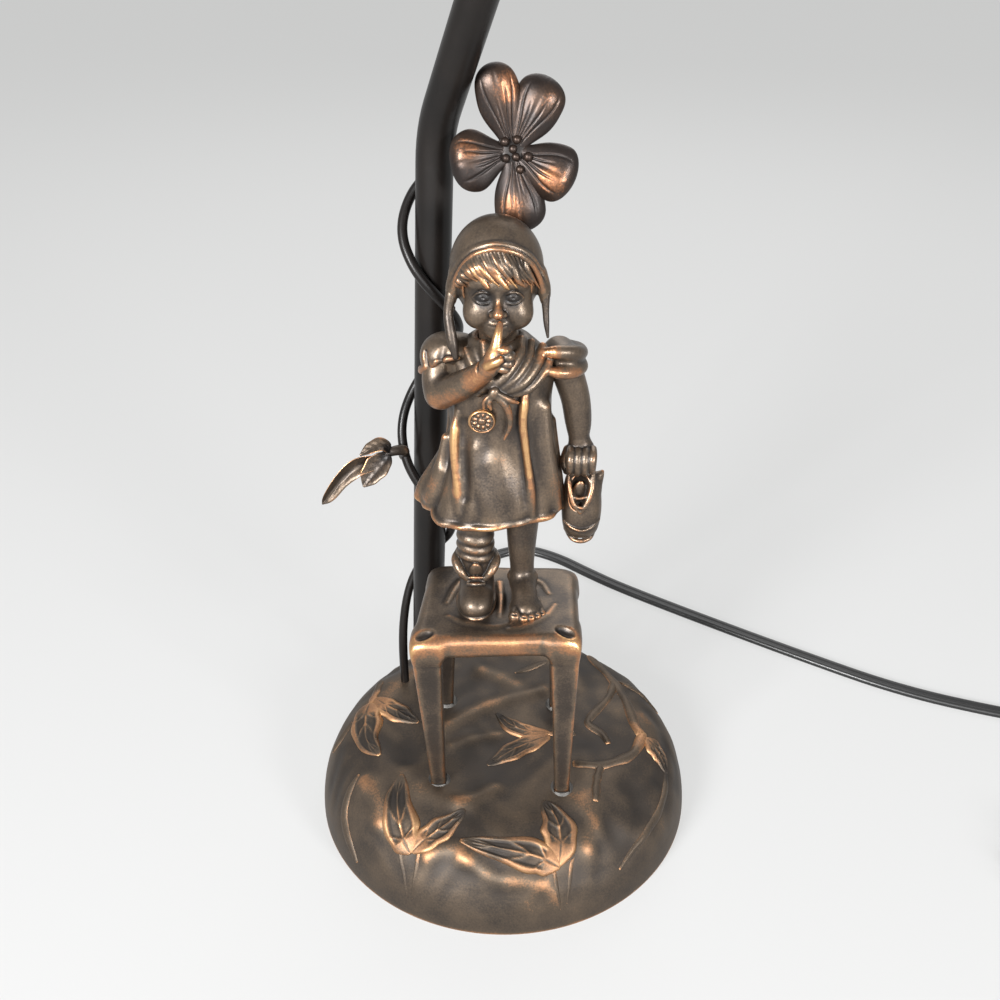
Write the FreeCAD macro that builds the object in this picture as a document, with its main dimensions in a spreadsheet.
"""Figural table lamp: a child on a stool before a bent pole, with a trailing vine and flower.

Units are millimetres, +Z is up and the origin is the centre of the base on the table.
-Y is the front. Every sub-part is one document object whose Label is its file name.
"""
import FreeCAD, Part

import math
import os

import Sketcher

V = FreeCAD.Vector
UP = V(0, 0, 1)
BACK = V(0, 1, 0)
RIGHT = V(1, 0, 0)

DOC = FreeCAD.newDocument("figural_table_lamp")
SUBPARTS = []

# Driving dimensions: alias, millimetres or degrees.
DRIVING = {
    "base_radius": 76.0, "base_height": 33.0, "base_cavity_radius": 71.5, "base_wall": 4.5,
    "felt_radius": 71.3, "felt_thickness": 2.0,
    "plate_radius": 70.0, "plate_thickness": 10.0, "plate_access_radius": 13.5,
    "screw_radius": 1.7, "screw_head_radius": 3.4, "screw_head_height": 2.2,
    "boss_radius": 4.5, "boss_circle_radius": 56.0,
    "pole_radius": 6.35, "pole_bore_radius": 5.15, "pole_foot_x": -32.2, "pole_foot_y": 30.0,
    "pole_foot_height": 31.5, "pole_top_height": 352.0, "pole_bend_radius": 40.0,
    "nipple_radius": 5.1, "nipple_bore_radius": 3.65, "nipple_foot_height": 21.0,
    "nut_height": 4.0, "nut_circumradius": 9.0, "washer_radius": 10.5, "washer_thickness": 1.0,
    "cord_radius": 3.3, "cord_floor_height": 3.35, "outlet_x": 4.0, "outlet_height": 14.0,
    "outlet_face_y": 71.0, "outlet_end_y": 97.0, "cord_joint_y": 75.5, "bushing_flange_radius": 6.8,
    "bushing_tip_radius": 4.3, "bushing_hole_radius": 5.2,
    "seat_height": 105.5, "seat_thickness": 9.5, "seat_corner_radius": 7.0, "seat_edge_radius": 2.5,
    "seat_recess_depth": 0.8, "leg_top_side": 10.5, "leg_foot_side": 5.6, "leg_foot_height": 33.0,
    "spigot_radius": 1.5, "spigot_depth": 5.0, "solder_radius": 3.9,
    "vine_radius": 1.8, "figure_screw_radius": 1.5,
    "flower_x": 2.7, "flower_y": 18.0, "flower_height": 262.1, "flower_lean": 17.0,
    "saddle_reach": 28.5, "saddle_width": 12.0, "saddle_thickness": 1.5, "saddle_tab_height": 10.5,
    "harp_wire_radius": 1.6, "harp_leg_x": 25.3, "harp_wide_x": 60.0, "harp_height": 177.0,
    "harp_top_bend": 50.0, "stud_radius": 3.1, "stud_length": 9.5,
    "ferrule_radius": 4.7, "ferrule_bore_radius": 3.7, "ferrule_length": 14.0,
    "socket_radius": 16.6, "socket_wall": 0.7, "socket_height": 37.0,
    "switch_shaft_radius": 1.6, "switch_clearance": 0.05, "knob_radius": 6.5, "knob_length": 11.0,
    "screw_shell_radius": 13.6, "bulb_cap_radius": 13.1, "bulb_radius": 30.0,
    "coil_outer_radius": 46.0, "coil_pitch": 7.4, "coil_turns": 6.464, "coil_tail": 16.5,
    "plug_width": 26.0, "plug_length": 34.0, "blade_gap": 12.7, "blade_length": 17.0,
}

SHEET = DOC.addObject("Spreadsheet::Sheet", "dims")
for row_number, (dimension_name, dimension) in enumerate(DRIVING.items(), start=1):
    SHEET.set(f"A{row_number}", dimension_name)
    SHEET.set(f"B{row_number}", str(dimension))
    SHEET.setAlias(f"B{row_number}", dimension_name)
DOC.recompute()


class Size:
    """A length that knows both its value and the spreadsheet formula it comes from."""

    def __init__(self, value, formula):
        self.value = value
        self.formula = formula

    def _join(self, other, sign, value):
        formula = other.formula if isinstance(other, Size) else str(other)
        return Size(value, f"({self.formula} {sign} {formula})")

    def __add__(self, other):
        return self._join(other, "+", self.value + float(other))

    def __sub__(self, other):
        return self._join(other, "-", self.value - float(other))

    def __mul__(self, other):
        return self._join(other, "*", self.value * float(other))

    def __neg__(self):
        return Size(-self.value, f"(0 - {self.formula})")

    def __float__(self):
        return float(self.value)


def dim(alias):
    """The driving dimension with this alias."""
    return Size(float(SHEET.get(alias)), f"dims.{alias}")


def bind(thing, **properties):
    """Set properties, as formulas where they come from the sheet."""
    for name, value in properties.items():
        setattr(thing, name, float(value))
        if isinstance(value, Size):
            thing.setExpression(name, value.formula)
    return thing


def keep(thing, label):
    """Name a finished sub-part, so that it is checked and written out."""
    thing.Label = label
    SUBPARTS.append(thing)
    return thing


# ---------------------------------------------------------------- building blocks

def place(thing, x=0.0, y=0.0, z=0.0, axis=UP):
    """Stand an object's own +Z along axis, at a point."""
    turn = FreeCAD.Rotation(UP, V(*axis))
    thing.Placement = FreeCAD.Placement(V(float(x), float(y), float(z)), turn)
    for letter, value in zip("xyz", (x, y, z)):
        if isinstance(value, Size):
            thing.setExpression(f"Placement.Base.{letter}", value.formula)
    return thing


def cylinder(name, radius, height, **where):
    thing = DOC.addObject("Part::Cylinder", name)
    bind(thing, Radius=radius, Height=height)
    return place(thing, **where)


def box(name, length, width, height, **where):
    """A box centred on its point in X and Y, standing on it in Z."""
    thing = DOC.addObject("Part::Box", name)
    bind(thing, Length=length, Width=width, Height=height)
    where["x"] = where.get("x", 0.0) + -float(length) / 2
    where["y"] = where.get("y", 0.0) + -float(width) / 2
    return place(thing, **where)


def fused(name, shapes):
    thing = DOC.addObject("Part::MultiFuse", name)
    thing.Shapes = shapes
    return thing


def cut(name, base, tools):
    thing = DOC.addObject("Part::Cut", name)
    thing.Base = base
    thing.Tool = tools[0] if len(tools) == 1 else fused(name + "_cutters", tools)
    return thing


def free_form(name, shape):
    thing = DOC.addObject("Part::Feature", name)
    thing.Shape = shape
    return thing


def sketch_arc(start, through, stop):
    """An anticlockwise sketch arc, its centre, and which of its ends are the start and the stop."""
    centre = Part.Arc(start, through, stop).toShape().Curve.Center
    circle = Part.Circle(centre, UP, (start - centre).Length)
    first, middle, last = (math.atan2(point.y - centre.y, point.x - centre.x)
                           for point in (start, through, stop))
    full = 2 * math.pi
    if (middle - first) % full < (last - first) % full:
        return Part.ArcOfCircle(circle, first, last), centre, (1, 2)
    return Part.ArcOfCircle(circle, last, first), centre, (2, 1)


def pin_point(sketch, edge, point, rules):
    """Hold a point of a sketch edge at given distances, bound to the sheet where they can be."""
    for kind, value in rules.items():
        if abs(float(value)) < 1e-9:
            axis = -2 if kind == "DistanceX" else -1
            sketch.addConstraint(Sketcher.Constraint("PointOnObject", edge, point, axis))
            continue
        number = sketch.addConstraint(Sketcher.Constraint(kind, -1, 1, edge, point, float(value)))
        if isinstance(value, Size):
            sketch.setExpression(f"Constraints[{number}]", value.formula)


def turned(name, profile, **where):
    """A PartDesign body turned about its own Z.

    profile is a closed outline of (radius, height) corners. A third value in a corner is a
    (radius, height) point that the arc to the next corner passes through.
    """
    body = DOC.addObject("PartDesign::Body", name)
    sketch = body.newObject("Sketcher::SketchObject", name + "_profile")
    plane = [part for part in body.Origin.OriginFeatures if part.Role == "XZ_Plane"][0]
    sketch.AttachmentSupport = (plane, [""])
    sketch.MapMode = "FlatFace"
    ends = []
    centres = {}
    for index, corner in enumerate(profile):
        following = profile[(index + 1) % len(profile)]
        start = V(float(corner[0]), float(corner[1]), 0)
        stop = V(float(following[0]), float(following[1]), 0)
        if len(corner) == 3:
            arc, centres[index], pair = sketch_arc(start, V(float(corner[2][0]), float(corner[2][1]), 0), stop)
            sketch.addGeometry(arc, False)
            ends.append(pair)
        else:
            sketch.addGeometry(Part.LineSegment(start, stop), False)
            ends.append((1, 2))
    count = len(profile)
    for index in range(count):
        other = (index + 1) % count
        sketch.addConstraint(Sketcher.Constraint("Coincident", index, ends[index][1], other, ends[other][0]))
    for index, corner in enumerate(profile):
        pin_point(sketch, index, ends[index][0], {"DistanceX": corner[0], "DistanceY": corner[1]})
    for index, centre in centres.items():
        chord = [float(profile[(index + 1) % count][side]) - float(profile[index][side]) for side in (0, 1)]
        rule = {"DistanceX": centre.x} if abs(chord[1]) > abs(chord[0]) else {"DistanceY": centre.y}
        pin_point(sketch, index, 3, rule)
    turn = body.newObject("PartDesign::Revolution", name + "_turn")
    turn.Profile = sketch
    turn.ReferenceAxis = (sketch, ["V_Axis"])
    turn.Angle = 360
    return place(body, **where)


def ring(name, inner, outer, height, **where):
    """A plain turned ring."""
    zero = 0.0
    corners = [(inner, zero), (outer, zero), (outer, height), (inner, height)]
    return turned(name, corners, **where)


def bent_wire(points, radii):
    """Straight runs joined by tangent arcs, and the length of the whole."""
    points = [V(*point) for point in points]
    edges = []
    length = 0.0
    here = points[0]
    for index in range(1, len(points) - 1):
        corner = points[index]
        inward = (points[index - 1] - corner).normalize()
        outward = (points[index + 1] - corner).normalize()
        half_turn = (math.pi - inward.getAngle(outward)) / 2
        reach = radii[index - 1] * math.tan(half_turn)
        start = corner + inward * reach
        stop = corner + outward * reach
        bisector = (inward + outward).normalize()
        apex = corner + bisector * (radii[index - 1] * (1 / math.cos(half_turn) - 1))
        edges.append(Part.LineSegment(here, start).toShape())
        edges.append(Part.Arc(start, apex, stop).toShape())
        length += (start - here).Length + 2 * half_turn * radii[index - 1]
        here = stop
    edges.append(Part.LineSegment(here, points[-1]).toShape())
    length += (points[-1] - here).Length
    return Part.Wire(edges), length


def largest_radii(points, share=0.45):
    """The largest arc at each corner: a share of its shorter run over the half turn's tangent."""
    points = [V(*point) for point in points]
    radii = []
    for before, corner, after in zip(points, points[1:], points[2:]):
        inward = before - corner
        outward = after - corner
        half_turn = (math.pi - inward.getAngle(outward)) / 2
        radii.append(share * min(inward.Length, outward.Length) / math.tan(half_turn))
    return radii


def swept_circle(wire, start, direction, radius):
    """A solid tube of one radius along a wire."""
    circle = Part.Wire(Part.Circle(start, direction, float(radius)).toShape())
    return wire.makePipeShell([circle], True, False)


def tube(points, radii, radius, bore=None):
    """A bent rod or tube through hand-chosen points."""
    wire, length = bent_wire(points, radii)
    start = V(*points[0])
    direction = V(*points[1]) - start
    solid = swept_circle(wire, start, direction, radius)
    if bore is not None:
        solid = solid.cut(swept_circle(wire, start, direction, bore))
    return solid, length


def ellipsoid(centre, reach, along=UP, across=RIGHT):
    """An ellipsoid whose third half-axis lies on along, and first near across."""
    ball = Part.makeSphere(1.0)
    stretch = FreeCAD.Matrix()
    stretch.scale(*reach)
    ball = ball.transformGeometry(stretch)
    third = V(*along).normalize()
    first = (V(*across) - third * V(*across).dot(third)).normalize()
    turn = FreeCAD.Rotation(first, third.cross(first), third)
    ball.Placement = FreeCAD.Placement(V(*centre), turn)
    return ball


def leaf_pad(root, tip, half_width, half_thickness, face):
    """A flat, pointed-oval pad from root to tip that faces one way."""
    root, tip = V(*root), V(*tip)
    reach = ((tip - root).Length / 2, half_width, half_thickness)
    midrib = (tip - root).normalize()
    square_face = V(*face) - midrib * V(*face).dot(midrib)
    return ellipsoid((root + tip) * 0.5, reach, along=square_face, across=midrib)


def leaf_blade(root, tip, half_width, thickness, face):
    """A flat pointed leaf from root to tip between two arcs, facing one way."""
    root, tip = V(*root), V(*tip)
    midrib = (tip - root).normalize()
    square_face = (V(*face) - midrib * V(*face).dot(midrib)).normalize()
    side = square_face.cross(midrib) * half_width
    low = square_face * (-thickness / 2)
    middle = (root + tip) * 0.5
    edges = [Part.Arc(root + low, middle + side + low, tip + low).toShape(),
             Part.Arc(tip + low, middle - side + low, root + low).toShape()]
    return Part.Face(Part.Wire(edges)).extrude(square_face * thickness)


def limb(start, stop, start_radius, stop_radius):
    """A tapered limb with ball ends."""
    start, stop = V(*start), V(*stop)
    axis = stop - start
    cone = Part.makeCone(start_radius, stop_radius, axis.Length, start, axis)
    return [cone, Part.makeSphere(start_radius, start), Part.makeSphere(stop_radius, stop)]


def fuse_all(shapes):
    whole = shapes[0].fuse(shapes[1:])
    return whole.removeSplitter()


# ---------------------------------------------------------------- base

FELT_TOP = dim("felt_thickness")
PLATE_TOP = FELT_TOP + dim("plate_thickness")
SHELL_INNER_TOP = dim("base_height") - dim("base_wall")
BOSS_DEPTH = SHELL_INNER_TOP - PLATE_TOP
BOSS_ANGLES = (30.0, 200.0, 290.0)
STOOL_FEET = {
    "front_left": (-25.3, -30.5), "front_right": (22.4, -34.5),
    "rear_left": (-24.1, 15.0), "rear_right": (22.5, 13.0),
}


def on_boss_circle(angle):
    reach = float(dim("boss_circle_radius"))
    return reach * math.cos(math.radians(angle)), reach * math.sin(math.radians(angle))


def base_shell():
    """The cast mound: a turned shell, with bosses, seats and holes."""
    outer, cavity = dim("base_radius"), dim("base_cavity_radius")
    top, under = dim("base_height"), SHELL_INNER_TOP
    shell = turned("shell_turned", [
        (cavity, 0.0), (outer, 0.0, (72.6, 17.0)), (66.0, top - 6.5, (56.0, 31.2)), (40.0, top),
        (0.0, top), (0.0, under), (40.0, under, (54.0, 27.0)), (64.0, 21.5, (69.6, 15.6)),
        (cavity, PLATE_TOP),
    ])
    solids = [shell]
    for angle in BOSS_ANGLES:
        x, y = on_boss_circle(angle)
        solids.append(cylinder("boss", dim("boss_radius"), BOSS_DEPTH, x=x, y=y, z=PLATE_TOP))
    pad_height = SHELL_INNER_TOP - dim("nipple_foot_height") - dim("nut_height") - dim("washer_thickness")
    pad_foot = SHELL_INNER_TOP - pad_height
    solids.append(cylinder("pole_pad", dim("washer_radius"), pad_height + 1.0,
                           x=dim("pole_foot_x"), y=dim("pole_foot_y"), z=pad_foot))
    holes = [
        cylinder("pole_seat", dim("pole_radius") + 0.1, 10.0,
                 x=dim("pole_foot_x"), y=dim("pole_foot_y"), z=dim("pole_foot_height")),
        cylinder("nipple_hole", dim("nipple_radius") + 0.1, 20.0,
                 x=dim("pole_foot_x"), y=dim("pole_foot_y"), z=dim("nipple_foot_height")),
        cylinder("outlet_hole", dim("bushing_hole_radius"), 20.0,
                 x=dim("outlet_x"), y=60.0, z=dim("outlet_height"), axis=BACK),
        cylinder("outlet_flat", dim("bushing_flange_radius") + 0.3, 12.0,
                 x=dim("outlet_x"), y=dim("outlet_face_y"), z=dim("outlet_height"), axis=BACK),
        cylinder("outlet_inner_flat", dim("bushing_flange_radius") + 0.3, 9.0,
                 x=dim("outlet_x"), y=dim("outlet_face_y") - 12.0, z=dim("outlet_height"), axis=BACK),
    ]
    for angle in BOSS_ANGLES:
        x, y = on_boss_circle(angle)
        holes.append(cylinder("boss_hole", dim("screw_radius"), 11.0, x=x, y=y, z=PLATE_TOP))
    for x, y in STOOL_FEET.values():
        holes.append(cylinder("spigot_hole", dim("spigot_radius"), 12.0, x=x, y=y,
                              z=dim("leg_foot_height") - dim("spigot_depth")))
    vine_foot = VINE_ROUTE[0]
    holes.append(cylinder("vine_hole", dim("vine_radius") + 0.2, 12.0,
                          x=vine_foot[0], y=vine_foot[1], z=vine_foot[2] - 0.3))
    return keep(cut("base", fused("base_solid", solids), holes), "base_shell")


def ballast_plate():
    """The steel weight in the base, with a hole to reach the pole nut."""
    plate = cylinder("plate_disc", dim("plate_radius"), dim("plate_thickness"), z=FELT_TOP)
    holes = [
        cylinder("plate_access", dim("plate_access_radius"), 20.0,
                 x=dim("pole_foot_x"), y=dim("pole_foot_y")),
        box("plate_notch", 21.0, 30.0, 20.0, x=1.5, y=61.0),
    ]
    for angle in BOSS_ANGLES:
        x, y = on_boss_circle(angle)
        holes.append(cylinder("plate_hole", dim("screw_radius") + 0.2, 20.0, x=x, y=y))
        holes.append(cylinder("plate_counterbore", dim("screw_head_radius") + 0.3,
                              dim("screw_head_height") + 0.3, x=x, y=y, z=FELT_TOP))
    return keep(cut("plate", plate, holes), "ballast_plate")


def felt_pad():
    return keep(cylinder("felt", dim("felt_radius"), FELT_TOP), "felt_pad")


def ballast_screws():
    """Three pan-head screws from below, each a solid of its own."""
    screws = []
    for angle in BOSS_ANGLES:
        x, y = on_boss_circle(angle)
        head_top = FELT_TOP + dim("screw_head_height") + 0.3
        head = cylinder("screw_head", dim("screw_head_radius"), dim("screw_head_height"),
                        x=x, y=y, z=FELT_TOP + 0.3)
        shank = cylinder("screw_shank", dim("screw_radius"), 18.0, x=x, y=y, z=head_top)
        screws.append(fused("ballast_screw", [head, shank]))
    group = DOC.addObject("Part::Compound", "ballast_screw_group")
    group.Links = screws
    return keep(group, "ballast_screws")


# ---------------------------------------------------------------- pole and its fastenings

def pole_route():
    """Centre line of the pole: up, leaning in, forward over the figure and up again."""
    foot_x, foot_y = float(dim("pole_foot_x")), float(dim("pole_foot_y"))
    return [
        (foot_x, foot_y, float(dim("pole_foot_height"))), (foot_x, foot_y, 52.0),
        (-22.6, foot_y, 266.0), (0.0, 0.0, 331.0), (0.0, 0.0, float(dim("pole_top_height"))),
    ]


def pole_radii():
    bend = float(dim("pole_bend_radius"))
    return [200.0, bend, bend]


def pole():
    solid, _ = tube(pole_route(), pole_radii(), dim("pole_radius"), dim("pole_bore_radius"))
    return keep(free_form("pole_tube", solid), "pole")


def pole_fastenings():
    """Threaded tube, washer and nut that hold the pole down on the shell."""
    where = {"x": dim("pole_foot_x"), "y": dim("pole_foot_y")}
    foot = dim("nipple_foot_height")
    keep(ring("nipple", dim("nipple_bore_radius"), dim("nipple_radius"), 25.0, z=foot, **where),
         "pole_nipple")
    nut = DOC.addObject("Part::Prism", "nut_hexagon")
    nut.Polygon = 6
    bind(nut, Circumradius=dim("nut_circumradius"), Height=dim("nut_height"))
    place(nut, z=foot, **where)
    bore = cylinder("nut_bore", dim("nipple_radius"), 10.0, z=foot - 1.0, **where)
    keep(cut("nut", nut, [bore]), "pole_nut")
    keep(ring("washer", dim("nipple_radius") + 0.1, dim("washer_radius") - 0.5,
              dim("washer_thickness"), z=foot + dim("nut_height"), **where), "pole_washer")


# ---------------------------------------------------------------- stool

FIGURE_SCREWS = [(-10.0, -6.0), (8.2, -7.0)]
SEAT_CORNERS = {
    "front_left": (-33.5, -34.7), "front_right": (27.4, -32.8),
    "rear_right": (28.3, 12.0), "rear_left": (-28.4, 14.3),
}
LEG_TOPS = {
    "front_left": (-27.6, -28.4), "front_right": (21.8, -26.8),
    "rear_left": (-22.6, 8.2), "rear_right": (22.6, 6.2),
}


def square_wire(x, y, z, side):
    half = side / 2
    corners = [V(x - half, y - half, z), V(x + half, y - half, z),
               V(x + half, y + half, z), V(x - half, y + half, z)]
    return Part.makePolygon(corners + [corners[0]])


def stool():
    """One casting: a thick rounded seat on four tapered square legs with foot spigots."""
    top = float(dim("seat_height"))
    under = top - float(dim("seat_thickness"))
    corners = [V(x, y, under) for x, y in SEAT_CORNERS.values()]
    slab = Part.Face(Part.makePolygon(corners + [corners[0]])).extrude(UP * (top - under))
    uprights = [edge for edge in slab.Edges if abs(edge.tangentAt(edge.FirstParameter).z) > 0.9]
    slab = slab.makeFillet(float(dim("seat_corner_radius")), uprights)
    rim = [edge for edge in slab.Edges if min(vertex.Z for vertex in edge.Vertexes) > top - 0.01]
    slab = slab.makeFillet(float(dim("seat_edge_radius")), rim)
    recess = Part.makeBox(40.0, 34.0, 5.0, V(-21.5, -27.0, top - float(dim("seat_recess_depth"))))
    recess_edges = [edge for edge in recess.Edges if abs(edge.tangentAt(edge.FirstParameter).z) > 0.9]
    slab = slab.cut(recess.makeFillet(9.0, recess_edges))
    pieces = [slab]
    foot = float(dim("leg_foot_height"))
    for name, (foot_x, foot_y) in STOOL_FEET.items():
        top_x, top_y = LEG_TOPS[name]
        knee_x, knee_y = top_x * 0.4 + foot_x * 0.6, top_y * 0.4 + foot_y * 0.6
        sections = [
            square_wire(top_x, top_y, under + 3.0, float(dim("leg_top_side"))),
            square_wire(knee_x, knee_y, foot + 30.0, float(dim("leg_top_side")) * 0.72),
            square_wire(foot_x, foot_y, foot, float(dim("leg_foot_side"))),
        ]
        pieces.append(Part.makeLoft(sections, True, True))
        spigot_depth = float(dim("spigot_depth"))
        pieces.append(Part.makeCylinder(float(dim("spigot_radius")), spigot_depth + 1.0,
                                        V(foot_x, foot_y, foot - spigot_depth)))
    casting = fuse_all(pieces).cut(figure_screw_shanks())
    return keep(free_form("stool_casting", casting), "stool")


def stool_solder():
    """A low bead of solder round the foot of each leg."""
    beads = []
    foot = float(dim("leg_foot_height"))
    outer = float(dim("solder_radius"))
    for x, y in STOOL_FEET.values():
        bead = Part.makeCone(outer + 0.8, outer, 1.1, V(x, y, foot))
        side = float(dim("leg_foot_side")) + 0.5
        leg = Part.makeBox(side, side, 3.0, V(x - side / 2, y - side / 2, foot))
        beads.append(bead.cut(leg))
    return keep(free_form("solder_beads", Part.makeCompound(beads)), "stool_solder")


# ---------------------------------------------------------------- figure

FEET_HEIGHT = float(dim("seat_height")) - float(dim("seat_recess_depth"))


def oval_wire(centre, reach_x, reach_y, z):
    oval = Part.Ellipse(V(centre[0], centre[1], z), max(reach_x, reach_y), min(reach_x, reach_y))
    if reach_y > reach_x:
        oval.AngleXU = math.pi / 2
    return Part.Wire(oval.toShape())


def child_figure():
    """The standing child, one casting: bonnet and head, smock, arms and legs."""
    smock = [
        ((-1.8, -3.5), 11.5, 8.5, 206.5), ((-2.0, -3.5), 19.0, 11.5, 199.5),
        ((-1.5, -3.5), 18.2, 14.0, 186.0), ((-1.0, -3.5), 18.8, 15.5, 172.0),
        ((-2.0, -3.8), 21.6, 18.2, 157.0), ((-3.6, -4.0), 24.8, 20.6, 143.5),
    ]
    sections = [oval_wire(centre, reach_x, reach_y, z) for centre, reach_x, reach_y, z in smock]
    parts = [Part.makeLoft(sections, True, False)]
    parts.append(ellipsoid((-2.0, -2.5, 229.0), (15.0, 15.5, 18.4)))
    parts.append(Part.makeCylinder(6.5, 10.0, V(-1.0, -4.0, 203.0)))
    parts.append(ellipsoid((-22.0, -3.0, 198.8), (8.0, 8.0, 8.0)))
    parts.append(ellipsoid((19.0, -4.0, 197.6), (9.4, 8.5, 6.0)))
    parts += limb((-21.5, -4.0, 196.0), (-22.4, -7.5, 186.2), 6.2, 5.6)
    parts += limb((-22.4, -7.5, 186.2), (-9.4, -20.5, 203.0), 5.6, 4.0)
    parts.append(ellipsoid((-1.4, -21.5, 207.4), (6.2, 5.6, 5.4)))
    parts += limb((-1.4, -22.0, 209.0), (-1.4, -20.0, 218.6), 2.2, 1.8)
    parts += limb((21.5, -3.0, 196.0), (25.4, -2.0, 177.0), 5.8, 5.0)
    parts += limb((25.4, -2.0, 177.0), (25.8, -3.0, 166.0), 5.0, 3.8)
    parts.append(ellipsoid((25.9, -4.2, 159.2), (5.2, 5.6, 6.4)))
    parts += limb((-10.4, -2.5, 148.0), (-10.2, -2.5, 120.0), 6.4, 5.6)
    parts += limb((-10.2, -2.5, 121.0), (-10.0, -4.0, 108.0), 6.6, 6.8)
    parts.append(ellipsoid((-10.0, -12.0, 109.0), (6.8, 10.5, 6.2)))
    parts += limb((7.6, -2.5, 148.0), (7.4, -2.5, 118.0), 6.8, 4.6)
    parts += limb((7.4, -2.5, 118.0), (8.0, -5.0, 108.5), 4.6, 5.0)
    parts.append(ellipsoid((8.6, -12.5, 107.4), (6.6, 11.0, 4.6)))
    medal = Part.makeCylinder(4.4, 4.0, V(-7.3, -15.0, 185.4), V(0, -1, 0))
    parts.append(medal)
    whole = fuse_all(parts)
    below_feet = Part.makeBox(80.0, 80.0, 20.0, V(-40.0, -45.0, FEET_HEIGHT - 20.0))
    return keep(free_form("figure_casting", whole.cut([below_feet] + figure_screw_shanks())), "child_figure")


def figure_screw_shanks():
    foot = float(dim("seat_height")) - float(dim("seat_thickness"))
    return [Part.makeCylinder(float(dim("figure_screw_radius")), 15.0, V(x, y, foot))
            for x, y in FIGURE_SCREWS]


def figure_screws():
    """Two screws from under the seat into the feet."""
    foot = float(dim("seat_height")) - float(dim("seat_thickness"))
    screws = []
    for shank, (x, y) in zip(figure_screw_shanks(), FIGURE_SCREWS):
        head = Part.makeCylinder(2 * float(dim("figure_screw_radius")), 1.8, V(x, y, foot - 1.8))
        screws.append(shank.fuse(head))
    return keep(free_form("seat_screws", Part.makeCompound(screws)), "figure_screws")


def held_shoe():
    """The small shoe that hangs toe down from the left hand."""
    sections = [
        oval_wire((27.2, -5.0), 4.8, 4.6, 153.4), oval_wire((28.2, -5.4), 6.2, 5.6, 148.0),
        oval_wire((28.6, -5.6), 6.8, 6.0, 140.0), oval_wire((28.6, -5.8), 6.6, 5.6, 133.6),
        oval_wire((28.6, -5.8), 5.0, 4.0, 130.9),
    ]
    return keep(free_form("shoe_casting", Part.makeLoft(sections, True, False)), "held_shoe")


# ---------------------------------------------------------------- vine, leaves and flower

VINE_ROUTE = [
    (-42.6, 27.4, 29.5), (-43.2, 28.6, 48.0), (-42.0, 32.4, 68.0), (-38.0, 37.4, 83.0),
    (-29.6, 39.6, 94.5), (-21.6, 34.6, 105.5), (-20.2, 26.6, 116.5), (-25.0, 21.2, 126.5),
    (-31.6, 20.6, 135.5), (-37.6, 24.6, 146.0), (-39.0, 30.4, 159.0), (-33.6, 38.0, 171.0),
    (-24.6, 39.8, 181.5), (-16.6, 34.0, 192.0), (-15.8, 25.6, 201.5), (-22.4, 20.6, 211.5),
    (-31.0, 22.6, 221.5), (-35.8, 29.6, 232.5), (-32.2, 37.2, 243.5), (-23.4, 39.8, 251.5),
    (-13.0, 35.2, 256.5), (-4.6, 27.2, 259.8), (1.4, 20.8, 262.0),
]


def vine_stem():
    """The dark rod that winds up the pole from the base to the flower."""
    solid, _ = tube(VINE_ROUTE, largest_radii(VINE_ROUTE), dim("vine_radius"))
    return keep(free_form("vine_rod", solid), "vine_stem")


def leaf_spray_left():
    """Twig and folded leaves that stand out to the left."""
    twig_points = [(-38.0, 27.0, 147.6), (-43.6, 23.4, 150.6), (-48.4, 20.4, 150.4)]
    twig, _ = tube(twig_points, largest_radii(twig_points), 1.3)
    parts = [
        twig, Part.makeSphere(1.4, V(*twig_points[-1])),
        leaf_blade((-46.6, 20.8, 151.0), (-68.5, 14.0, 132.8), 3.6, 1.4, (-0.4, -0.5, 0.75)),
        leaf_blade((-46.2, 21.2, 151.6), (-57.2, 14.4, 142.6), 4.6, 1.4, (0.2, -0.8, 0.5)),
        leaf_blade((-45.8, 21.6, 151.2), (-59.6, 18.6, 149.4), 3.8, 1.4, (0.0, -0.3, 0.95)),
    ]
    return keep(free_form("left_spray", fuse_all(parts)), "leaf_spray_left")


def leaf_rear():
    """Leaf on a short twig behind the pole."""
    twig_points = [(-21.6, 35.6, 106.0), (-17.4, 40.0, 109.6), (-14.3, 41.4, 105.1)]
    twig, _ = tube(twig_points, largest_radii(twig_points), 1.2)
    leaf = leaf_blade((-17.4, 40.0, 109.4), (-4.4, 47.0, 91.0), 5.0, 1.4, (0.4, -0.8, 0.4))
    return keep(free_form("rear_leaf", fuse_all([twig, leaf])), "leaf_rear")


# Petal direction in the flower's plane (degrees), its length, its half width and its tip's lift.
PETALS = [
    (106.0, 28.6, 6.4, 5.4), (63.0, 27.0, 7.6, 2.6), (-23.0, 21.8, 8.0, 2.6),
    (190.0, 20.6, 9.2, 2.6), (-80.0, 25.0, 7.8, -1.0),
]
STAMENS = [(-2.0, 2.6), (1.9, 3.4), (-1.7, -2.6), (1.2, -1.6), (4.7, -2.0), (2.7, -5.9), (-0.2, 0.4)]


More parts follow.
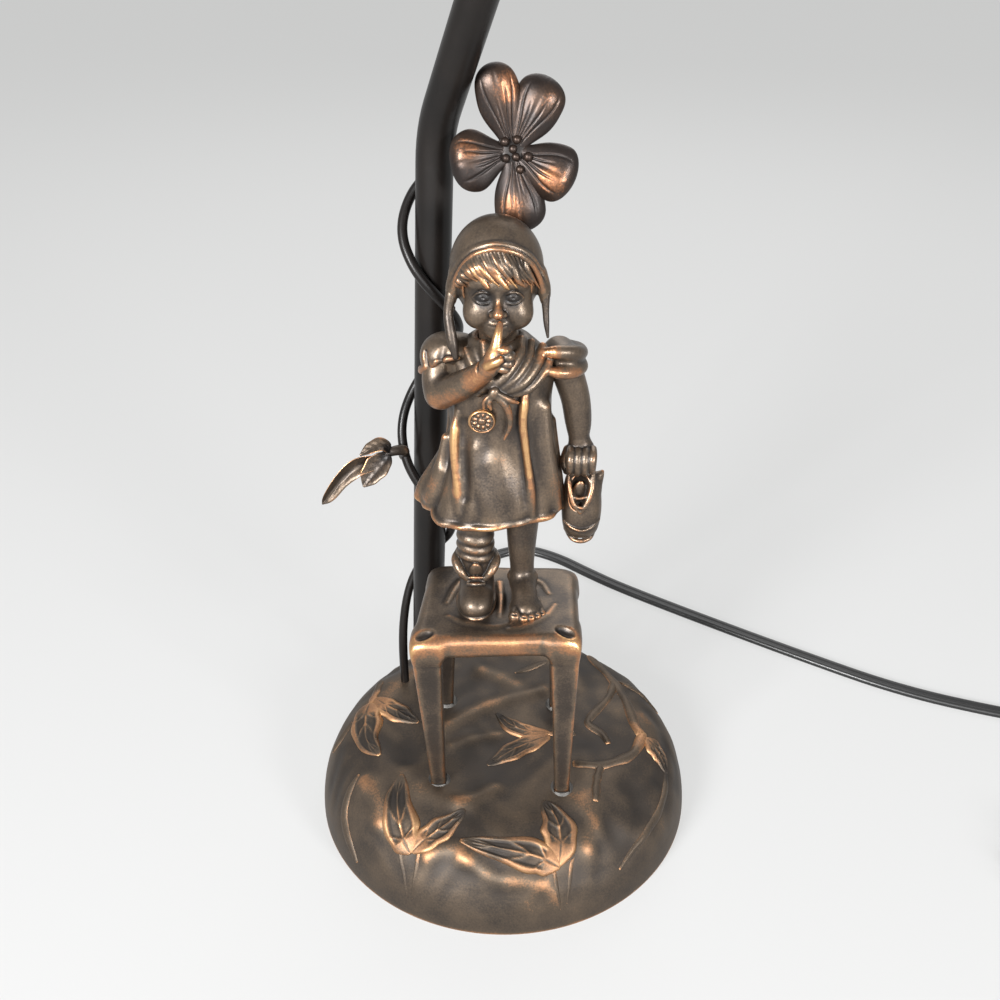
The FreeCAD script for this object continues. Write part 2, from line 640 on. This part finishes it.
def flower():
    """Five cupped petals, a ringed centre and its stamens, made facing up and then tipped."""
    parts = [Part.makeCylinder(5.4, 2.4, V(0, 0, -1.6)), Part.makeCone(2.6, 5.0, 3.0, V(0, 0, -4.4))]
    for angle, length, half_width, lift in PETALS:
        heading = V(math.cos(math.radians(angle)), math.sin(math.radians(angle)), 0)
        root = heading * 2.0 + UP * -0.6
        tip = heading * length + UP * lift
        side = UP.cross(heading)
        parts.append(leaf_pad(root, tip, half_width, 1.3, side.cross(tip - root) * -1))
    for x, y in STAMENS:
        parts.append(Part.makeSphere(1.1, V(x, y, 1.5)))
    bloom = fuse_all(parts)
    thing = free_form("bloom", bloom)
    lean = FreeCAD.Rotation(RIGHT, 90.0 - float(dim("flower_lean")))
    place_at = V(float(dim("flower_x")), float(dim("flower_y")), float(dim("flower_height")))
    thing.Placement = FreeCAD.Placement(place_at, lean)
    return keep(thing, "flower")


# ---------------------------------------------------------------- lampholder, bulb and harp

POLE_TOP = dim("pole_top_height")
RING_HEIGHT = 3.0
SADDLE_FOOT = POLE_TOP + RING_HEIGHT
SADDLE_TOP = SADDLE_FOOT + dim("saddle_thickness")
SOCKET_FOOT = SADDLE_TOP
SWITCH_HEIGHT = SOCKET_FOOT + 21.0
HARP_TOP = SADDLE_FOOT + dim("harp_height")


def riser_fastenings():
    keep(ring("riser", dim("nipple_bore_radius"), dim("nipple_radius"), 18.6, z=POLE_TOP - 8.6),
         "riser_nipple")
    keep(ring("lock_ring", dim("nipple_radius") + 0.1, 9.5, RING_HEIGHT, z=POLE_TOP), "check_ring")


def harp_saddle():
    """Strip bracket under the lampholder, with a tab turned up at each end."""
    reach, width = dim("saddle_reach"), dim("saddle_width")
    thickness = dim("saddle_thickness")
    strip = box("saddle_strip", reach * 2.0, width, thickness, z=SADDLE_FOOT)
    tabs = []
    for side in (-1, 1):
        middle = side * (float(reach) - float(thickness) / 2)
        tabs.append(box("saddle_tab", thickness, 5.0, dim("saddle_tab_height") + thickness,
                        x=middle, z=SADDLE_FOOT))
    hole = cylinder("saddle_hole", dim("nipple_radius") + 0.1, 10.0, z=SADDLE_FOOT - 2.0)
    return keep(cut("saddle", fused("saddle_solid", [strip] + tabs), [hole]), "harp_saddle")


def harp():
    """Wire loop round the bulb with a threaded stud on top."""
    leg, wide = float(dim("harp_leg_x")), float(dim("harp_wide_x"))
    foot, top = float(SADDLE_TOP) + 0.2, float(HARP_TOP)
    bend = float(dim("harp_top_bend"))
    left_side = [(-leg, foot), (-leg, foot + 33.0), (-wide, foot + 85.0), (-wide, top)]
    outline = left_side + [(-x, z) for x, z in reversed(left_side)]
    points = [(x, 0.0, z) for x, z in outline]
    loop, _ = tube(points, [14.0, 45.0, bend, bend, 45.0, 14.0], dim("harp_wire_radius"))
    plate = Part.makeCylinder(6.0, 2.4, V(0, 0, top))
    stud = Part.makeCylinder(float(dim("stud_radius")), float(dim("stud_length")), V(0, 0, top + 2.4))
    return keep(free_form("harp_loop", fuse_all([loop, plate, stud])), "harp")


def harp_sleeves():
    """The two ferrules that lock the loop on the saddle; each slides up its leg."""
    middle = (float(dim("harp_leg_x")) - float(dim("harp_wire_radius")) + float(dim("saddle_reach"))) / 2
    for side, label in ((-1, "harp_sleeve_left"), (1, "harp_sleeve_right")):
        sleeve = ring(label + "_ferrule", dim("ferrule_bore_radius"), dim("ferrule_radius"),
                      dim("ferrule_length"), x=side * middle, z=SADDLE_TOP + 0.1)
        keep(sleeve, label)


def finial():
    """Turned knob screwed on the stud."""
    stud = dim("stud_radius")
    foot = HARP_TOP + 2.4
    profile = [
        (stud, 0.0), (6.4, 0.0), (6.4, 2.2, (5.4, 4.0)), (4.2, 5.4), (4.2, 9.0, (7.6, 13.6)),
        (4.0, 18.2), (3.4, 20.6), (2.0, 22.6), (0.0, 23.4), (0.0, 10.6), (stud, 10.6),
    ]
    return keep(turned("finial_knob", profile, z=foot), "finial")


def lampholder():
    """Cap, shell, liner and the insulated interior with its contacts."""
    outer, wall = dim("socket_radius"), dim("socket_wall")
    bore = dim("nipple_radius") + 0.1
    cap = [
        (bore, 0.0), (8.0, 0.0), (8.0, 3.2), (outer + 0.8, 9.8), (outer + 0.8, 17.0),
        (outer + 0.1, 17.0), (outer + 0.1, 10.2), (7.4, 4.0), (bore, 4.0),
    ]
    keep(turned("cap_cup", cap, z=SOCKET_FOOT), "socket_cap")
    shell_foot = SOCKET_FOOT + 11.0
    top = dim("socket_height")
    shell = turned("shell_tube", [
        (outer - wall, 0.0), (outer, 0.0), (outer, top - 2.0), (outer + 0.8, top),
        (outer + 0.1, top), (outer - wall, top - 2.0),
    ], z=shell_foot)
    liner = ring("liner_tube", outer - wall - 0.9, outer - wall - 0.1, top - 3.0, z=shell_foot)
    for body, label in ((shell, "socket_shell"), (liner, "socket_liner")):
        slot = cylinder(label + "_hole", 2.4, 30.0, z=SWITCH_HEIGHT, axis=-BACK)
        keep(cut(label + "_drilled", body, [slot]), label)
    core = cylinder("core", outer - wall - 1.1, 14.0, z=shell_foot)
    shaft_hole = cylinder("core_hole", dim("switch_shaft_radius") + dim("switch_clearance"), 30.0,
                          y=-6.0, z=SWITCH_HEIGHT, axis=-BACK)
    keep(cut("core_drilled", core, [shaft_hole]), "socket_interior")
    screw_foot = shell_foot + 14.0
    keep(ring("screw_tube", dim("bulb_cap_radius") + 0.1, dim("screw_shell_radius"), 20.0, z=screw_foot),
         "screw_shell")
    keep(cylinder("contact", 3.0, 1.2, z=screw_foot), "centre_contact")
    screws = [cylinder("terminal_screw", 2.6, 1.8, x=x, z=shell_foot - 1.8) for x in (-8.6, 8.6)]
    group = DOC.addObject("Part::Compound", "terminal_group")
    group.Links = screws
    keep(group, "terminal_screws")


def switch():
    """Turn knob on its shaft, facing the front."""
    radius = dim("switch_shaft_radius")
    keep(cylinder("shaft", radius, 26.0, y=-6.4, z=SWITCH_HEIGHT, axis=-BACK), "switch_shaft")
    length, grip = dim("knob_length"), dim("knob_radius")
    profile = [
        (radius, 0.0), (3.4, 0.0), (3.4, 2.0, (3.9, 2.9)), (grip - 1.0, 3.6), (grip, 4.4),
        (grip - 0.3, length - 1.0), (grip - 1.3, length), (0.0, length), (0.0, 7.0), (radius, 7.0),
    ]
    knob = turned("knob", profile, y=-25.4, z=SWITCH_HEIGHT, axis=-BACK)
    keep(knob, "switch_knob")


def bulb():
    """Screw cap and frosted envelope."""
    cap_radius, ball = dim("bulb_cap_radius"), dim("bulb_radius")
    foot = SOCKET_FOOT + 11.0 + 14.0 + 1.2
    cap = [
        (0.0, 0.0), (4.6, 0.0), (5.0, 1.4), (cap_radius - 1.4, 4.0), (cap_radius, 5.0),
        (cap_radius, 25.0), (0.0, 25.0),
    ]
    keep(turned("cap_screw", cap, z=foot), "bulb_cap")
    ball_centre = 81.0

    def on_ball(degrees):
        angle = math.radians(degrees)
        return float(ball) * math.cos(angle), ball_centre + float(ball) * math.sin(angle)

    outline = [
        (0.0, 25.0), (cap_radius + 0.6, 25.0), (cap_radius + 1.2, 30.0, (17.8, 46.0)),
        (*on_ball(-28), on_ball(9)), (*on_ball(45), on_ball(68)), (0.0, ball_centre + float(ball)),
    ]
    keep(turned("envelope", outline, z=foot), "bulb_glass")


# ---------------------------------------------------------------- cord, inside and out

def cord_bushing():
    """Flanged bushing in the rear wall, tapering along the cord."""
    cord, hole = dim("cord_radius"), dim("bushing_hole_radius")
    flange, tip = dim("bushing_flange_radius"), dim("bushing_tip_radius")
    length = dim("outlet_end_y") - dim("outlet_face_y")
    profile = [
        (cord, -5.4), (hole + 1.0, -5.4), (hole + 1.0, -3.0), (hole, -3.0), (hole, 0.0), (flange, 0.0),
        (flange, 2.0), (hole + 0.6, 2.6), (tip, length), (cord, length),
    ]
    body = turned("bushing", profile, x=dim("outlet_x"), y=dim("outlet_face_y"),
                  z=dim("outlet_height"), axis=BACK)
    return keep(body, "cord_bushing")


def inner_cord():
    """The cord from the outlet through the base and up the pole to the lampholder."""
    outlet_x, height = float(dim("outlet_x")), float(dim("outlet_height"))
    foot_x, foot_y = float(dim("pole_foot_x")), float(dim("pole_foot_y"))
    base_run = [
        (outlet_x, float(dim("cord_joint_y")), height), (outlet_x, 56.0, height),
        (-13.0, 43.6, 17.0), (foot_x, foot_y, 14.5),
    ]
    climb = pole_route()[1:-1] + [(0.0, 0.0, float(SOCKET_FOOT) + 5.5)]
    radii = [13.0, 20.0, 6.0] + pole_radii()
    solid, _ = tube(base_run + climb, radii, dim("cord_radius"))
    return keep(free_form("cord_inside", solid), "inner_cord")


def lead_wires():
    """The two split conductors that reach the terminal screws."""
    wires = []
    top = float(SOCKET_FOOT) + 9.4
    for side in (-1, 1):
        start = V(side * 1.6, 0.0, float(SOCKET_FOOT) + 5.3)
        run = V(side * 8.0, 0.0, top) - start
        wires.append(Part.makeCylinder(0.8, run.Length, start, run))
    return keep(free_form("conductors", Part.makeCompound(wires)), "lead_wires")


FLOOR = float(dim("cord_floor_height"))
EXIT = (float(dim("outlet_x")), float(dim("cord_joint_y")), float(dim("outlet_height")))
COIL_START = (284.0, 28.6, FLOOR)
CORD_ROUTE = [
    EXIT, (EXIT[0], 101.0, EXIT[2]), (1.0, 119.0, 11.6), (-9.2, 133.4, 6.0), (-14.6, 152.2, FLOOR),
    (-5.6, 169.4, FLOOR), (13.0, 175.4, FLOOR), (30.6, 166.4, FLOOR), (45.0, 153.4, FLOOR), (62.9, 138.5, FLOOR),
    (101.7, 111.7, FLOOR), (146.4, 82.2, FLOOR), (187.7, 56.6, FLOOR), (229.0, 41.2, FLOOR),
    (256.5, 34.6, FLOOR), COIL_START,
]


def supply_cord():
    """The free stretch from the outlet along the table to the coil."""
    radii = largest_radii(CORD_ROUTE)
    solid, length = tube(CORD_ROUTE, radii, dim("cord_radius"))
    section = math.pi * float(dim("cord_radius")) ** 2
    print("supply_cord length %.1f volume/(section*length) %.4f" % (length, solid.Volume / section / length))
    print("supply_cord radii", [round(radius, 1) for radius in radii])
    return keep(free_form("cord_outside", solid), "supply_cord")


def coil_frame():
    """Centre of the coil and the polar angle at which the cord runs into it."""
    run = V(*CORD_ROUTE[-1]) - V(*CORD_ROUTE[-2])
    entry = math.pi / 2 + math.atan2(run.y, run.x)
    outer = float(dim("coil_outer_radius"))
    centre = V(*COIL_START) - V(outer * math.cos(entry), outer * math.sin(entry), 0)
    return centre, entry


def coil_point(turn):
    """Point and heading after so many turns, clockwise, in on one layer and out on the next."""
    centre, entry = coil_frame()
    pitch, total = float(dim("coil_pitch")), float(dim("coil_turns"))
    half_climb = 0.25

    def at(value):
        from_middle = value - total / 2
        distance = abs(from_middle)
        if distance < half_climb:
            distance = half_climb / 2 + distance * distance / (2 * half_climb)
        radius = float(dim("coil_outer_radius")) - pitch * (total / 2 - distance)
        share = min(max((from_middle + half_climb) / (2 * half_climb), 0.0), 1.0)
        lift = pitch * share * share * (3 - 2 * share)
        angle = entry - 2 * math.pi * value
        return centre + V(radius * math.cos(angle), radius * math.sin(angle), lift)

    small = 1e-4
    return at(turn), (at(turn + small) - at(turn - small)).normalize()


def biarc(start, start_heading, stop, stop_heading):
    """Two tangent arcs between two points with given headings, and their length."""
    chord = stop - start
    both = start_heading + stop_heading
    spread = 2 * (1 - start_heading.dot(stop_heading))
    reach = (math.sqrt(chord.dot(both) ** 2 + spread * chord.dot(chord)) - chord.dot(both)) / spread
    first_corner = start + start_heading * reach
    last_corner = stop - stop_heading * reach
    joint = (first_corner + last_corner) * 0.5
    edges = []
    length = 0.0
    for begin, corner, end in ((start, first_corner, joint), (joint, last_corner, stop)):
        middle = (begin + end) * 0.5
        height = (corner - middle).Length
        half_angle = math.atan2(height, (end - begin).Length / 2)
        radius = reach / math.tan(half_angle)
        sagitta = radius * (1 - math.cos(half_angle))
        apex = middle + (corner - middle).normalize() * sagitta
        edges.append(Part.Arc(begin, apex, end).toShape())
        length += 2 * half_angle * radius
    return edges, length


def cord_coil():
    """The put-away length: one unbroken tube, in and out again in two layers."""
    total = float(dim("coil_turns"))
    straight = float(dim("coil_tail"))
    steps = int(math.ceil(total * 4))
    places = [coil_point(total * step / steps) for step in range(steps + 1)]
    edges = []
    length = 0.0
    for (start, start_heading), (stop, stop_heading) in zip(places, places[1:]):
        pair, piece = biarc(start, start_heading, stop, stop_heading)
        edges += pair
        length += piece
    tail_start, tail_heading = places[-1]
    edges.append(Part.LineSegment(tail_start, tail_start + tail_heading * straight).toShape())
    length += straight
    wire = Part.Wire(edges)
    solid = swept_circle(wire, places[0][0], places[0][1], dim("cord_radius"))
    section = math.pi * float(dim("cord_radius")) ** 2
    print("cord_coil length %.1f volume/(section*length) %.4f" % (length, solid.Volume / section / length))
    print("cord_coil least gap %.2f" % least_coil_gap())
    return keep(free_form("cord_wound", solid), "cord_coil")


def least_coil_gap():
    """Smallest distance between one turn's surface and another's, measured on points."""
    total = float(dim("coil_turns"))
    per_turn = 72
    count = int(total * per_turn)
    points = [coil_point(index / per_turn)[0] for index in range(count + 1)]
    least = 1e9
    for index, point in enumerate(points):
        for other in points[index + per_turn // 2:]:
            least = min(least, (point - other).Length)
    return least - 2 * float(dim("cord_radius"))


def plug():
    """Moulded plug at the coil's end, lying on the table, with its two blades."""
    total = float(dim("coil_turns"))
    end, heading = coil_point(total)
    start = end + heading * float(dim("coil_tail"))
    half_height = start.z
    side = UP.cross(heading)
    half_width, length = float(dim("plug_width")) / 2, float(dim("plug_length"))

    def section(distance, width, height):
        middle = start + heading * distance
        corner_cut = min(width, height) * 0.35
        outline = []
        for across, upward in ((1, 1), (-1, 1), (-1, -1), (1, -1)):
            long_side = middle + side * (across * (width - corner_cut)) + UP * (upward * height)
            tall_side = middle + side * (across * width) + UP * (upward * (height - corner_cut))
            pair = [tall_side, long_side] if across * upward > 0 else [long_side, tall_side]
            outline += pair
        return Part.makePolygon(outline + [outline[0]])

    cord = float(dim("cord_radius"))
    body = Part.makeLoft([
        section(0.0, cord + 0.9, cord + 0.9), section(length * 0.42, cord + 2.6, cord + 1.6),
        section(length * 0.55, half_width * 0.92, half_height * 0.8),
        section(length * 0.7, half_width, half_height), section(length, half_width, half_height),
    ], True, True)
    keep(free_form("plug_moulding", body), "plug_body")
    blades = []
    for across in (-1, 1):
        root = start + heading * (length - 4.0) + side * (across * float(dim("blade_gap")) / 2)
        blade = Part.makeBox(float(dim("blade_length")) + 4.0, 1.5, 6.3, V(0, -0.75, -3.15))
        blade.Placement = FreeCAD.Placement(root, FreeCAD.Rotation(heading, side, UP))
        blades.append(blade)
    keep(free_form("blades", Part.makeCompound(blades)), "plug_blades")


# ---------------------------------------------------------------- assembly, checks and files

def build():
    for make in (
        base_shell, ballast_plate, felt_pad, ballast_screws, pole, pole_fastenings, stool, stool_solder,
        child_figure, figure_screws, held_shoe, vine_stem, leaf_spray_left, leaf_rear, flower, riser_fastenings,
        harp_saddle, harp, harp_sleeves, finial, lampholder, switch, bulb, cord_bushing, inner_cord,
        lead_wires, supply_cord, cord_coil, plug,
    ):
        make()
    DOC.recompute()


def check():
    """Stop on any failed object and on any sub-part without a valid shape."""
    for thing in DOC.Objects:
        if {"Invalid", "Error"} & set(thing.State):
            raise RuntimeError(f"{thing.Label} failed: {thing.State}")
    for thing in SUBPARTS:
        if thing.Shape.isNull() or not thing.Shape.isValid() or thing.Shape.Volume <= 0:
            raise RuntimeError(f"{thing.Label} has no valid shape")


def write():
    os.makedirs("parts", exist_ok=True)
    for thing in SUBPARTS:
        thing.Shape.exportStep(os.path.join("parts", thing.Label + ".step"))
        bounds = thing.Shape.BoundBox
        print("%-18s solids %d volume %9.1f z %.1f..%.1f" % (
            thing.Label, len(thing.Shape.Solids), thing.Shape.Volume, bounds.ZMin, bounds.ZMax))


build()
check()
write()
